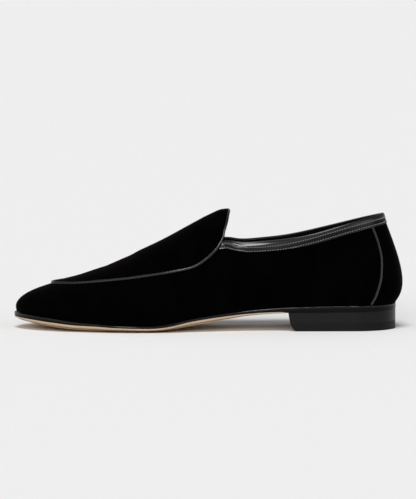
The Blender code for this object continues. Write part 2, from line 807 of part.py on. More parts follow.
def back_seam_top(outer):
    """Height at which the seam ends, just under the collar's binding."""

    def under(height):
        turn, share = back_seam_place(height, outer)
        handles = back_handles(turn)
        return np.linalg.norm(bezier(handles, share) - handles[3]) - BINDING_HEIGHT - SEAM_END_GAP

    return root(under, BACK_SEAM_FOOT, BACK_SEAM_LIMIT)


def make_back_piping(name, outer):
    """Raised seam on one side of the back strip."""
    lift = SEAM_CORD_RADIUS + GAP
    top = back_seam_top(outer)
    path = []
    for i in range(SEAM_CORD_POINTS):
        height = BACK_SEAM_FOOT + (top - BACK_SEAM_FOOT) * i / (SEAM_CORD_POINTS - 1)
        turn, share = back_seam_place(height, outer)
        path.append(last_point(turn, share, False, lift))
    return finish(name, tube(path, SEAM_CORD_RADIUS, closed=False), PIPING_LEATHER)


# Outsole, insole and heel


def spine_point(turn):
    """Point on the middle of the sole that an outline point looks at."""
    along = clamp(outline_along(turn), SPINE_BACK, SPINE_FRONT)
    return np.array([x_at(along), sole_middle(along)])


def across_sole(turn, inset, share):
    """Point between the outline moved in and the spine, with the crown's share left there."""
    edge = outline(turn) - outward(turn) * inset
    spine = spine_point(turn)
    plan = edge + (spine - edge) * share
    distance = inset + np.linalg.norm(plan - edge)
    whole = inset + np.linalg.norm(spine - edge)
    return plan, (1.0 - clamp(distance / min(CROWN_WIDTH, whole))) ** 2


def underside(turn, inset=0.0, share=0.0):
    plan, crown = across_sole(turn, inset, share)
    height = low_line(along_at(plan[0])) + sole["rise"](outline_along(turn)) * CROWN_HEIGHT * crown
    return np.array([plan[0], plan[1], height])


def topside(turn, inset=0.0, share=0.0, lift=0.0):
    crown = across_sole(turn, inset, share)[1]
    thickness = SOLE_THICKNESS + (edge_height(outline_along(turn)) - SOLE_THICKNESS) * crown
    return underside(turn, inset, share) + np.array([0.0, 0.0, thickness + lift])


def sole_turns():
    """Columns round the outline, in pairs that look at the same point on the middle of the sole."""
    angles = [2 * math.pi * i / SOLE_COLUMNS for i in range(SOLE_COLUMNS)]
    outer = [TOE_TURN * (angle - SOLE_CROWDING * math.sin(angle)) / (2 * math.pi) for angle in angles]
    inner = [turn_at(outline_along(turn), outer=False) for turn in outer[1:]]
    return outer + [TOE_TURN] + inner[::-1]


def crown_shares(turn, rows):
    """Shares of the way from the edge to the spine, closer together where the sole is crowned."""
    width = np.linalg.norm(spine_point(turn) - outline(turn))
    reach = min(CROWN_WIDTH, width) / width
    return [reach * share for share in rows] + [1.0]


def make_outsole():
    """Leather sole: a square edge, an underside crowned across, and the toe spring and arch along it."""
    rings = []
    for turn in sole_turns():
        top = [topside(turn, 0.0, share) for share in crown_shares(turn, OUTSOLE_ROWS)]
        bottom = [underside(turn, 0.0, share) for share in crown_shares(turn, OUTSOLE_ROWS)]
        bottom[0] = underside(turn, EDGE_BEVEL_WIDTH)
        bottom[0][2] = edge_foot(outline_along(turn))
        rings.append(top[::-1] + bottom)
    faces = loft([*rings, rings[0]])
    return finish("outsole", faces, SOLE_LEATHER)


def make_insole():
    """Sock of thin leather inside the upper, on the outsole."""
    rings = []
    for turn in sole_turns():
        inset = sole["ledge"](outline_along(turn)) * SOLE_LEDGE_WIDTH + WALL_THICKNESS + INSOLE_CLEARANCE_GAP
        shares = crown_shares(turn, INSOLE_ROWS)
        bottom = [topside(turn, inset, share, GAP) for share in shares]
        top = [topside(turn, inset, share, GAP + INSOLE_THICKNESS) for share in shares]
        rings.append(top[::-1] + bottom)
    faces = loft([*rings, rings[0]])
    return finish("insole", faces, SOCK_LEATHER)


def heel_ring(level, top):
    """Outline of the heel block at a height, closed by its hollow breast."""
    back = breast["back"](level / HEEL_HEIGHT) * BREAST_SETBACK_LENGTH
    front = (HEEL_LENGTH - back) / SOLE_LENGTH
    outer, inner = turn_at(front), 1.0 - turn_at(front, outer=False)
    half = HEEL_COLUMNS // 2
    ways = [(i / half) ** HEEL_CROWDING for i in range(half + 1)]
    turns = [-inner * way for way in ways[:0:-1]] + [outer * way for way in ways]
    plan = [outline(turn) - outward(turn) * HEEL_INSET_GAP for turn in turns]
    for i in range(1, BREAST_COLUMNS):
        share = i / BREAST_COLUMNS
        hollow = BREAST_HOLLOW_DEPTH * 4 * share * (1.0 - share)
        plan.append(plan[HEEL_COLUMNS] * (1.0 - share) + plan[0] * share + np.array([hollow, 0.0]))
    heights = [low_line(along_at(point[0])) - GAP if top else level for point in plan]
    return [np.array([point[0], point[1], height]) for point, height in zip(plan, heights)]


def fan(ring):
    """Faces from a ring to the middle of its back part."""
    middle = np.mean([ring[0], ring[HEEL_COLUMNS // 2], ring[HEEL_COLUMNS]], axis=0)
    middle[2] = np.mean([point[2] for point in ring])
    return [[ring[i - 1], ring[i], middle] for i in range(len(ring))]


def make_top_lift():
    """Lowest layer of the heel, which stands on the floor."""
    curved = [row["height"] * HEEL_HEIGHT for row in BREAST]
    levels = [level for level in curved if level < LIFT_THICKNESS - GAP] + [LIFT_THICKNESS]
    rings = [heel_ring(level, False) for level in levels]
    faces = loft(rings, closed=True) + fan(rings[0]) + fan(rings[-1])
    return finish("top_lift", faces, LIFT_RUBBER)


def make_heel_stack():
    """Leather layers of the heel, cut on top to the slope of the sole's seat."""
    foot = LIFT_THICKNESS + GAP
    middle = (foot + HEEL_HEIGHT) / 2
    rings = [heel_ring(foot, False), heel_ring(middle, False), heel_ring(HEEL_HEIGHT, True)]
    faces = loft(rings, closed=True) + fan(rings[0]) + fan(rings[-1])
    return finish("heel_stack", faces, HEEL_LEATHER)


def centre_on_floor(pieces):
    """Moves the shoe so that the middle of its plan is over the origin. The floor is already at zero."""
    points = np.array([vertex.co for piece in pieces for vertex in piece.data.vertices])
    middle = (points.min(axis=0) + points.max(axis=0)) / 2
    for piece in pieces:
        for vertex in piece.data.vertices:
            vertex.co.x -= middle[0]
            vertex.co.y -= middle[1]
        piece.data.update()


def main():
    for old in list(bpy.data.objects):
        bpy.data.objects.remove(old)
    pieces = [
        make_upper(),
        make_apron_piping(),
        make_topline_binding(),
        make_back_piping("back_piping_outer", True),
        make_back_piping("back_piping_inner", False),
        make_outsole(),
        make_insole(),
        make_heel_stack(),
        make_top_lift(),
    ]
    centre_on_floor(pieces)


main()
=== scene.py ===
# %% [markdown]
# # A velvet slipper loafer
#
# This lesson dresses a plain solid model of a slipper loafer so that it looks like
# the real shoe: black cotton velvet, glossy piping, a folded leather collar, a
# blackened sole edge over a tan leather bottom, and a stacked heel. The solid model
# is the frame. It holds the true size and shape, so each cell starts from it.

import json
import math

import bmesh
import bpy
import numpy as np
from mathutils import Matrix, Vector
from mathutils.bvhtree import BVHTree
from mathutils.kdtree import KDTree

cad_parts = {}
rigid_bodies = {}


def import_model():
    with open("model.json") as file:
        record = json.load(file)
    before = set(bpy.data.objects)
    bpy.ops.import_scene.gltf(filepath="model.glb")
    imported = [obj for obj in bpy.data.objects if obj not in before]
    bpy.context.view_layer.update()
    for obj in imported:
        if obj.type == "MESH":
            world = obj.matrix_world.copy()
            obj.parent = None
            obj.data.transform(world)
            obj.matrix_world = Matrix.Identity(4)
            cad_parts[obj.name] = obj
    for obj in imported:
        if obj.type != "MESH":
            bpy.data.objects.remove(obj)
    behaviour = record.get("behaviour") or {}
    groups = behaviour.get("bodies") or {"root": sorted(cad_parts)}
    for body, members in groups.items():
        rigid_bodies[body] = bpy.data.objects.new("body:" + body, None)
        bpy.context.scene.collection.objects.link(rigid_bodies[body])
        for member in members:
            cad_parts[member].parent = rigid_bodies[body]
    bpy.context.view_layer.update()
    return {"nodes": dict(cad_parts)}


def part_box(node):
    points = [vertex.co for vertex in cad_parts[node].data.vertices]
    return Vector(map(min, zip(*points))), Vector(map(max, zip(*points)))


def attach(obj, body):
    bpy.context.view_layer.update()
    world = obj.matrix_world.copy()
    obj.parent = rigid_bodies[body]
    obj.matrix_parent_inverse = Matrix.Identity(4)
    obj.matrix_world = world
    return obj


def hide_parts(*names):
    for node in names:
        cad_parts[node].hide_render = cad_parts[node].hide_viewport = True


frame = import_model()
print("solids:", ", ".join(sorted(frame["nodes"])))

# %% [markdown]
# ## Working units and colours
#
# Blender works in metres and a shoemaker in millimetres, so lengths below are
# written as a number times MM. Colours are picked on a screen as sRGB hex values,
# but a shader adds light in linear values, so one function converts them.

# %% Millimetres and colours
MM = 0.001


def linear(hex_colour):
    """A shader colour from an sRGB hex value such as "#c8a070"."""
    channels = [int(hex_colour[i : i + 2], 16) / 255 for i in (1, 3, 5)]
    return tuple(c / 12.92 if c <= 0.04045 else ((c + 0.055) / 1.055) ** 2.4 for c in channels) + (1.0,)


print("tan leather in linear values:", [round(value, 3) for value in linear("#c8ac89")])

# %% [markdown]
# ## Materials are small trees
#
# Each real finish becomes one material. A helper makes the material and sets the
# plain values on its shader. A second helper adds one node with its settings and
# its links, and a third links what the nodes give to the shader. They keep every
# recipe short enough to read.

# %% Helpers for a material and its nodes


def new_finish(name, values):
    """A material whose shader has these plain values."""
    made = bpy.data.materials.new(name)
    made.use_nodes = True
    shader = made.node_tree.nodes["Principled BSDF"]
    for socket, value in values.items():
        shader.inputs[socket].default_value = value
    return made, shader


def add_node(finish, kind, settings=None, inputs=None):
    """Adds a node. An input is a plain value or the socket that feeds it."""
    node = finish.node_tree.nodes.new(kind)
    for key, value in (settings or {}).items():
        setattr(node, key, value)
    for key, value in (inputs or {}).items():
        if isinstance(value, bpy.types.NodeSocket):
            finish.node_tree.links.new(value, node.inputs[key])
        else:
            node.inputs[key].default_value = value
    return node


def wire(finish, shader, sources):
    """Links each named socket of the shader to what feeds it."""
    for socket, source in sources.items():
        finish.node_tree.links.new(source, shader.inputs[socket])


# %% [markdown]
# ## Tones, patterns and relief
#
# No real surface has one flat colour. Noise in the object's own coordinates gives
# soft patches whose size is set in millimetres, so a grain keeps its true scale.
# A pattern then mixes two tones, is turned into a range of values such as a
# roughness, or is read as a height and becomes a bump of a given depth.

# %% Helpers for tones, patterns and relief


def blend_tones(finish, share, first, second):
    """Mixes two colours by a pattern. A colour is a hex value or the socket that gives it."""
    first, second = (linear(tone) if isinstance(tone, str) else tone for tone in (first, second))
    mixed = add_node(finish, "ShaderNodeMix", {"data_type": "RGBA"}, {0: share, 6: first, 7: second})
    return mixed.outputs[2]


def cloud_pattern(finish, size_mm, detail=2.0, stretch=(1.0, 1.0, 1.0)):
    """Soft patches about as large as size_mm, and longer where the stretch is below one."""
    place = add_node(finish, "ShaderNodeTexCoord").outputs["Object"]
    placed = add_node(finish, "ShaderNodeMapping", {}, {"Vector": place, "Scale": stretch})
    inputs = {"Vector": placed.outputs["Vector"], "Scale": 1 / (size_mm * MM), "Detail": detail}
    return add_node(finish, "ShaderNodeTexNoise", {}, inputs).outputs["Fac"]


def between(finish, pattern, low, high):
    """Turns the middle of a pattern, which is where noise mostly lies, into a range of values."""
    inputs = {"Value": pattern, "From Min": 0.3, "From Max": 0.7, "To Min": low, "To Max": high}
    return add_node(finish, "ShaderNodeMapRange", {}, inputs).outputs["Result"]


def relief(finish, pattern, depth_mm, strength, invert=False):
    """A bump that is depth_mm high where the pattern is full."""
    inputs = {"Height": pattern, "Distance": depth_mm * MM, "Strength": strength}
    return add_node(finish, "ShaderNodeBump", {"invert": invert}, inputs).outputs["Normal"]


# %% [markdown]
# ## Cotton velvet
#
# Velvet is woven with a cut pile that stands up from the cloth. Looked at straight
# on, light falls between the hairs and black velvet is almost without light. Seen
# along the surface, the sides of the hairs catch light, so the form gets a faint
# warm rim. The sheen part of the shader gives that rim. The pile never lies quite
# even, so its tone drifts in patches of about 14 mm, and a fine bump stands for
# the hairs. A hair is 0.02 mm thick, too fine to see, so tufts of 0.6 mm are drawn.

# %% Velvet
velvet, velvet_shader = new_finish("cotton velvet", {
    "Roughness": 1.0,
    "Specular IOR Level": 0.0,
    "Sheen Weight": 0.11,
    "Sheen Roughness": 0.3,
    "Sheen Tint": linear("#968c84"),
})
TUFT_MM = 0.6
PILE_PATCH_MM = 14.0
tufts = cloud_pattern(velvet, TUFT_MM, detail=3.0)
patches_of_pile = cloud_pattern(velvet, PILE_PATCH_MM, stretch=(1.0, 1.0, 0.55))
pile_tone = blend_tones(velvet, between(velvet, patches_of_pile, 0.0, 1.0), "#010101", "#030303")
wire(velvet, velvet_shader, {
    "Base Color": blend_tones(velvet, between(velvet, tufts, 0.0, 0.4), pile_tone, "#060505"),
    "Normal": relief(velvet, tufts, 0.25, 0.9),
})
print("finish:", velvet.name)

# %% [markdown]
# ## Calf leather
#
# Piping, collar binding, lining and sock are all aniline-dyed calf, finished to
# different gloss. Leather is a dielectric with an index of refraction near 1.5.
# Its look comes from the grain: small rounded cells with creases between them,
# 0.3 mm across on calf and drawn here at about three times that size, or four on
# the sock, so they show. Where hands and feet rub the wax it shines more, and a
# mark on the mesh says where. One recipe makes each of these leathers.

# %% Calf leather recipe


def rubbed_coat(finish, shader, plain, rubbed):
    """Gives the wax coat a plain weight and a greater one where the piece is marked as rubbed."""
    mark = add_node(finish, "ShaderNodeAttribute", {"attribute_name": "rubbed"}).outputs["Fac"]
    weight = add_node(finish, "ShaderNodeMapRange", {}, {"Value": mark, "To Min": plain, "To Max": rubbed})
    wire(finish, shader, {"Coat Weight": weight.outputs["Result"]})


def calf_leather(name, deep, lifted, roughness, grain_mm, relief_mm, gloss=0.3, coat=0.0, rubbed=0.0):
    """Dyed and polished calf with a cell grain. A coat adds the shine of the wax on top."""
    made, shader = new_finish(name, {"IOR": 1.5, "Specular IOR Level": gloss, "Coat Roughness": 0.13})
    rubbed_coat(made, shader, coat, rubbed)
    place = add_node(made, "ShaderNodeTexCoord").outputs["Object"]
    cells = add_node(made, "ShaderNodeTexVoronoi", {"feature": "SMOOTH_F1"},
                     {"Vector": place, "Scale": 1 / (grain_mm * MM), "Randomness": 0.9})
    patches = between(made, cloud_pattern(made, 9.0, detail=3.0), 0.0, 1.0)
    wire(made, shader, {
        "Base Color": blend_tones(made, patches, deep, lifted),
        "Roughness": between(made, cloud_pattern(made, 2.5), roughness - 0.05, roughness + 0.06),
        "Normal": relief(made, cells.outputs["Distance"], relief_mm, 0.7, invert=True),
    })
    return made


piping_calf = calf_leather("piping calf", "#060606", "#0a0a0a", 0.27, 0.8, 0.02, coat=0.35)
binding_calf = calf_leather("binding calf", "#060606", "#0b0b0c", 0.32, 0.9, 0.02, gloss=0.15, coat=0.08,
                            rubbed=0.9)
lining_calf = calf_leather("lining calf", "#080808", "#0e0e0e", 0.55, 1.0, 0.05)
sock_calf = calf_leather("sock calf", "#0e0d0d", "#171615", 0.48, 1.2, 0.06)
print("finishes:", piping_calf.name, binding_calf.name, lining_calf.name, sock_calf.name)

# %% [markdown]
# ## From solid to sewn piece
#
# Each piece of the shoe has a solid of flat facets, which is true in size and
# place. The dressed piece starts as a copy of it. Doubled points are merged, and
# the triangles are turned back into quads, because quads become round evenly.

# %% Helpers that start a piece


def pick(*pieces):
    """Selects only these pieces and makes the first one active."""
    if bpy.context.mode != "OBJECT":
        bpy.ops.object.mode_set(mode="OBJECT")
    bpy.ops.object.select_all(action="DESELECT")
    for piece in pieces:
        piece.select_set(True)
    bpy.context.view_layer.objects.active = pieces[0]


def places(piece):
    """Vertex places as rows of x, y and z."""
    flat = np.empty(len(piece.data.vertices) * 3)
    piece.data.vertices.foreach_get("co", flat)
    return flat.reshape(-1, 3)


def move_to(piece, rows):
    """Puts the vertices in new places."""
    piece.data.vertices.foreach_set("co", np.ascontiguousarray(rows).ravel())
    piece.data.update()


MERGE = 0.01 * MM
CRISP = math.radians(35)


def start_from(node, name):
    """A merged copy of a solid with its quads back."""
    piece = bpy.data.objects.new(name, frame["nodes"][node].data.copy())
    bpy.context.scene.collection.objects.link(piece)
    piece.data.name = name
    piece.data.materials.clear()
    pick(piece)
    bpy.ops.mesh.customdata_custom_splitnormals_clear()
    bpy.ops.object.mode_set(mode="EDIT")
    bpy.ops.mesh.select_all(action="SELECT")
    bpy.ops.mesh.remove_doubles(threshold=MERGE)
    bpy.ops.mesh.tris_convert_to_quads(face_threshold=CRISP, shape_threshold=math.pi)
    bpy.ops.object.mode_set(mode="OBJECT")
    return piece


def select_faces(piece, numbers):
    """Selects these faces and nothing else, for the next step in edit mode."""
    pick(piece)
    bpy.ops.object.mode_set(mode="EDIT")
    bpy.ops.mesh.select_mode(type="FACE")
    bpy.ops.mesh.select_all(action="DESELECT")
    bpy.ops.object.mode_set(mode="OBJECT")
    for number in numbers:
        piece.data.polygons[number].select = True


# %% [markdown]
# ## Hard edges and a smooth skin
#
# Where the faces meet at more than 35 degrees, the real piece has a cut edge. Such
# edges are creased, and a subdivision surface rounds the rest. It shrinks inside
# its cage, so the cage is first let out until the smooth skin passes through the
# points of the solid. The piece then keeps its true shape and loses the facets. At
# a fold the cage could cross itself, so there is a limit to how far it is let out.

# %% Helpers that round a piece
MOST_LET_OUT = 0.7 * MM
LET_OUT_ROUNDS = 3


def crease_hard_edges(piece, hardness):
    """Creases and marks the edges that fold by more than the crisp angle."""
    pick(piece)
    bpy.ops.object.mode_set(mode="EDIT")
    bpy.ops.mesh.select_mode(type="EDGE")
    bpy.ops.mesh.select_all(action="DESELECT")
    bpy.ops.mesh.edges_select_sharp(sharpness=CRISP)
    bpy.ops.mesh.mark_sharp()
    bpy.ops.transform.edge_crease(value=hardness)
    bpy.ops.object.mode_set(mode="OBJECT")


def smooth_skin(piece, levels):
    """Subdivides a piece after letting its cage out, so that the skin keeps the solid's points."""
    pick(piece)
    rounding = piece.modifiers.new("smooth skin", "SUBSURF")
    rounding.levels = levels
    rounding.render_levels = levels
    aim = places(piece)
    cage = aim.copy()
    for _ in range(LET_OUT_ROUNDS):
        bpy.context.view_layer.update()
        skin = piece.evaluated_get(bpy.context.evaluated_depsgraph_get()).data
        flat = np.empty(len(skin.vertices) * 3)
        skin.vertices.foreach_get("co", flat)
        let_out = cage - flat.reshape(-1, 3)[: len(aim)]
        length = np.linalg.norm(let_out, axis=1)[:, None]
        cage = aim + let_out * np.minimum(1.0, MOST_LET_OUT / np.maximum(length, MERGE))
        move_to(piece, cage)
    bpy.ops.object.modifier_apply(modifier=rounding.name)
    bpy.ops.object.shade_smooth_by_angle(angle=CRISP)
    print(piece.name, len(piece.data.polygons), "faces")


# %% [markdown]
# ## Lines on a surface
#
# Seams, stitches and creases all follow lines on a piece. A line is kept as points
# that are evenly spaced and stuck to the surface, each with the direction that
# faces out.

# %% Helpers for lines
LINE_STEP = 0.4 * MM


def even_points(points, step):
    """The same path with a point at every step of its length."""
    points = np.array(points, float)
    run = np.concatenate([[0.0], np.cumsum(np.linalg.norm(np.diff(points, axis=0), axis=1))])
    at = np.linspace(0.0, run[-1], max(2, round(run[-1] / step) + 1))
    return np.stack([np.interp(at, run, points[:, i]) for i in range(3)], axis=1)


def stick(piece, points):
    """Points and outward normals of a path, moved to the nearest place on a piece."""
    surface = BVHTree.FromObject(piece, bpy.context.evaluated_depsgraph_get())
    line = []
    for point in even_points(points, LINE_STEP):
        place, normal, *_ = surface.find_nearest(Vector(point))
        line.append((place, normal))
    return line


def near_line(piece, line, reach):
    """Each vertex within reach of a line, with its nearest point on the line and the distance."""
    tree = KDTree(len(line))
    for i, (place, _) in enumerate(line):
        tree.insert(place, i)
    tree.balance()
    rows = places(piece)
    spots = np.array([list(place) for place, _ in line])
    boxed = np.all((rows > spots.min(axis=0) - reach) & (rows < spots.max(axis=0) + reach), axis=1)
    for number in np.flatnonzero(boxed):
        vertex = piece.data.vertices[int(number)]
        _, i, distance = tree.find(vertex.co)
        if distance < reach:
            yield vertex, i, distance


# %% [markdown]
# ## Pressing and rubbing
#
# A needle, a seam or a bent foot presses a soft trough, and leather that is pushed
# aside stands up as a ridge. Both move the surface in or out and fade with distance
# from a line, as a sculpting brush does. A rubbed mark fades in the same way, but
# it is only a number on each point, which the wax coat of the material reads.

# %% Troughs, ridges and rubbed marks
FADED = 3.0
SAME_SIDE = 0.2


def press(piece, line, width, depth, through=False, taper=False):
    """Presses a soft trough along a line, or lifts a ridge where the depth is below zero.

    With through, the back of the wall moves with its front. With taper, the ends fade out.
    """
    reached = near_line(piece, line, FADED * width)
    near = [(vertex, vertex.normal.copy(), i, distance) for vertex, i, distance in reached]
    moved = 0
    for vertex, facing, i, distance in near:
        normal = line[i][1]
        if not through and facing.dot(normal) < SAME_SIDE:
            continue
        share = i / (len(line) - 1)
        fade = math.sin(math.pi * share) if taper else 1.0
        vertex.co -= normal * depth * fade * math.exp(-((distance / width) ** 2))
        moved += 1
    piece.data.update()
    return moved


def rub(piece, line, width):
    """Marks a piece as rubbed: wholly on the line, and fading out over about the width."""
    marks = piece.data.attributes.get("rubbed") or piece.data.attributes.new("rubbed", "FLOAT", "POINT")
    for vertex, _, distance in near_line(piece, line, FADED * width):
        mark = marks.data[vertex.index]
        mark.value = max(mark.value, math.exp(-((distance / width) ** 2)))


# %% [markdown]
# ## The velvet upper
#
# The upper is one hollow wall: velvet outside and calf lining inside, with a
# raised apron on top. The split between the two cloths follows the hard edges of
# the wall, so a face of the lining is picked and the selection is grown up to
# those edges, as Select Linked does by hand. The lining gets its own finish.

# %% Velvet outside and calf inside
upper = start_from("upper", "velvet_upper")
upper.data.materials.append(velvet)
upper.data.materials.append(lining_calf)
crease_hard_edges(upper, 0.85)

INSIDE_THE_TOE = Vector((-50 * MM, 0.0, 30 * MM))
UP = Vector((0.0, 0.0, 1.0))
inside_wall = BVHTree.FromObject(upper, bpy.context.evaluated_depsgraph_get())
ceiling_face = inside_wall.ray_cast(INSIDE_THE_TOE, UP)[2]
select_faces(upper, [ceiling_face])
bpy.ops.object.mode_set(mode="EDIT")
bpy.ops.mesh.select_linked(delimit={"SHARP"})
upper.active_material_index = 1
bpy.ops.object.material_slot_assign()
bpy.ops.object.mode_set(mode="OBJECT")
lined = sum(face.material_index == 1 for face in upper.data.polygons)
print("lining faces:", lined, "of", len(upper.data.polygons))
smooth_skin(upper, 2)

# %% [markdown]
# ## Soft creases
#
# A shoe that has been on a last is smooth, but cloth and lining still give a
# little. Shallow troughs are pressed where the foot bends: across the
# apron behind the toes, below the throat, and on the quarter under the collar.
# Front and back of the wall move together so that its thickness stays true.

# %% Creases pressed into the wall
skin = BVHTree.FromObject(upper, bpy.context.evaluated_depsgraph_get())


FAR_OFF = 200 * MM


def on_outer_side(x_mm, z_mm):
    """The place on the outer wall at this length and height."""
    return skin.ray_cast(Vector((x_mm * MM, -FAR_OFF, z_mm * MM)), Vector((0.0, 1.0, 0.0)))[0]


def on_inner_side(x_mm, z_mm):
    """The place on the inner wall at this length and height."""
    return skin.ray_cast(Vector((x_mm * MM, FAR_OFF, z_mm * MM)), Vector((0.0, -1.0, 0.0)))[0]


def on_top(x_mm, y_mm):
    """The place on top of the upper at this length and width."""
    return skin.ray_cast(Vector((x_mm * MM, y_mm * MM, FAR_OFF)), Vector((0.0, 0.0, -1.0)))[0]


# Each row: name, wall, points in mm, width in mm, depth in mm
CREASES = [
    ("across the apron", on_top, [(-60, -18), (-60, -8), (-60, 3), (-60, 14), (-60, 22)], 5.0, 0.45),
    ("across the apron, nearer the toe", on_top, [(-78, -20), (-80, -6), (-79, 10), (-76, 22)], 4.0, 0.30),
    ("below the outer throat", on_outer_side, [(-8, 42), (6, 36), (20, 33), (34, 32)], 7.0, 0.60),
    ("below the inner throat", on_inner_side, [(-6, 40), (8, 34), (24, 31)], 7.0, 0.60),
    ("outer flex", on_outer_side, [(-48, 34), (-44, 27), (-42, 20)], 5.0, 0.40),
    ("inner flex", on_inner_side, [(-50, 33), (-46, 26), (-44, 20)], 5.0, 0.40),
    ("over the outer counter", on_outer_side, [(92, 44), (104, 40), (118, 42)], 6.0, 0.35),
]
for title, on_wall, points_mm, width_mm, depth_mm in CREASES:
    line = stick(upper, [on_wall(*point) for point in points_mm])
    count = press(upper, line, width_mm * MM, depth_mm * MM, through=True, taper=True)
    print("crease", title, count, "points")

# %% [markdown]
# ## The tip of the tongue
#
# The tongue ends in a soft round tip, and the corner where it meets the collar is
# full rather than pointed. Both are drawn with three gentle pushes seen from the
# side, as with proportional editing: everything within reach follows, less and
# less with distance. The same pushes are used again on the piping round the edge.

# %% Gentle pushes from the side

# Each row in mm: the centre's x and z, the reach, and the shift along x and z
TONGUE_PUSHES = [
    (9.5, 91.0, 9.0, 0.0, 0.9),
    (18.8, 94.2, 4.2, -1.7, -1.9),
    (14.5, 72.0, 13.0, -1.5, 0.0),
]


def push_from_side(piece, pushes, only_outer=False):
    """Moves what lies near each centre, seen from the side, by a shift that fades out smoothly."""
    for x_mm, z_mm, reach_mm, shift_x_mm, shift_z_mm in pushes:
        centre = Vector((x_mm * MM, z_mm * MM))
        shift = Vector((shift_x_mm * MM, shift_z_mm * MM))
        for vertex in piece.data.vertices:
            if only_outer and vertex.co.y > 0:
                continue
            away = (Vector((vertex.co.x, vertex.co.z)) - centre).length / (reach_mm * MM)
            if away < 1.0:
                share = (1.0 - away * away) ** 2
                vertex.co.x += shift.x * share
                vertex.co.z += shift.y * share
    piece.data.update()


push_from_side(upper, TONGUE_PUSHES)
print("highest point of the upper in mm:", round(places(upper)[:, 2].max() / MM, 1))
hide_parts("upper")
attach(upper, "root")

# %% [markdown]
# ## The apron's piping
#
# Piping is a thin strip of calf folded round a cord and sewn into the seam. The
# tube of the solid only has to be made round. A real cord isn't laid on top of
# velvet but beds into the pile, so each point of the tube is sunk a little towards
# the wall. The sinking is averaged over neighbours so that the cord stays even.

# %% Helpers that bed a cord in the velvet
NESTLE = 0.36 * MM
FATTEN = 0.14 * MM
SOFTEN_ROUNDS = 40
LEAST_STEEPNESS = 0.3


def soften(piece, rows, rounds):
    """Averages a value of each vertex with the values of its neighbours, round after round."""
    ends = np.empty(len(piece.data.edges) * 2, int)
    piece.data.edges.foreach_get("vertices", ends)
    first, second = ends.reshape(-1, 2).T
    neighbours = np.bincount(ends, minlength=len(rows))[:, None]
    for _ in range(rounds):
        total = np.zeros_like(rows)
        np.add.at(total, first, rows[second])
        np.add.at(total, second, rows[first])
        rows = (rows + total / neighbours) / 2
    return rows


def nestle(cord, wall, slide=lambda place: 0.0):
    """Slides a cord forwards along its wall, sinks it into the pile and fattens it a little."""
    pile = BVHTree.FromObject(wall, bpy.context.evaluated_depsgraph_get())
    moves = []
    for vertex in cord.data.vertices:
        below, out, _, _ = pile.find_nearest(vertex.co)
        forwards = Vector((-1.0, 0.0, 0.0)) + out * out.x
        steepness = max(abs(forwards.x), LEAST_STEEPNESS)
        there, out, _, _ = pile.find_nearest(below + forwards * slide(vertex.co) / steepness)
        moves.append(there - below - out * NESTLE)
    moves = soften(cord, np.array(moves), SOFTEN_ROUNDS)
    swell = np.array([vertex.normal * FATTEN for vertex in cord.data.vertices])
    move_to(cord, places(cord) + moves + swell)


# %% [markdown]
# ## The piping on the apron
#
# The cord follows the seam of the apron and then the edge of the tongue, so it
# gets the same pushes as the tongue before it is bedded in the velvet.

# %% Apron piping
apron_piping = start_from("apron_piping", "apron_piping_cord")
apron_piping.data.materials.append(piping_calf)
smooth_skin(apron_piping, 2)
push_from_side(apron_piping, TONGUE_PUSHES)
nestle(apron_piping, upper)
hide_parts("apron_piping")
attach(apron_piping, "root")

# %% [markdown]
# ## The seams of the back strip
#
# Two thinner cords frame the strip of velvet over the heel. They are made in the
# same way, and their closed ends keep a soft edge. Beside the photograph the strip
# is a little wider than the solid's, so each cord slides forwards on its wall.

# %% Back seams
SEAM_HEIGHTS = (20 * MM, 80 * MM)
SEAM_SLIDES = (1.6 * MM, 3.0 * MM)


def seam_slide(place):
    """How far the back seam slides forwards here: more at its top than at its foot."""
    return float(np.interp(place.z, SEAM_HEIGHTS, SEAM_SLIDES))


for node in ("back_piping_outer", "back_piping_inner"):
    back_cord = start_from(node, node + "_cord")
    back_cord.data.materials.append(piping_calf)
    crease_hard_edges(back_cord, 0.4)
    smooth_skin(back_cord, 2)
    nestle(back_cord, upper, seam_slide)
    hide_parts(node)
    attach(back_cord, "root")

# %% [markdown]
# ## The collar's binding
#
# A strip of calf is sewn to the outside of the collar, rolled over the edge and
# caught down inside. The fold is round and takes the light. Three rows of stitches
# pull the leather into shallow channels: one along each lower edge and one on the
# shoulder of the fold, so the leather between them stands up a little. Both front
# ends are first extruded forwards, so that they tuck under the apron's piping.
# Extruding can number the new points in another order each time the script runs,
# so they are numbered again by their place.

# %% Collar binding and its front ends
binding = start_from("topline_binding", "collar_binding")
binding.data.materials.append(binding_calf)
END_REACH = 2.7 * MM
END_DEPTH = 4 * MM
END_LEAN = 0.30
LOOKS_FORWARDS = -0.75


def lengthen_end(piece, side):
    """Pulls one open end of the binding forwards, its lower edge further."""
    on_this_side = [f for f in piece.data.polygons if f.center.y * side > 0]
    tip = min(f.center.x for f in on_this_side)
    ends = [f for f in on_this_side if f.normal.x < LOOKS_FORWARDS and f.center.x < tip + END_DEPTH]
    facing = sum((f.normal * f.area for f in ends), Vector()).normalized()
    select_faces(piece, [f.index for f in ends])
    bpy.ops.object.mode_set(mode="EDIT")
    bpy.ops.mesh.extrude_region_move(TRANSFORM_OT_translate={"value": facing * END_REACH})
    bpy.ops.object.mode_set(mode="OBJECT")
    moved = [v for v in piece.data.vertices if v.select]
    top = max(v.co.z for v in moved)
    for vertex in moved:
        vertex.co.x -= (top - vertex.co.z) * END_LEAN
    print("binding end on side", side, len(ends), "faces, facing", [round(n, 2) for n in facing])


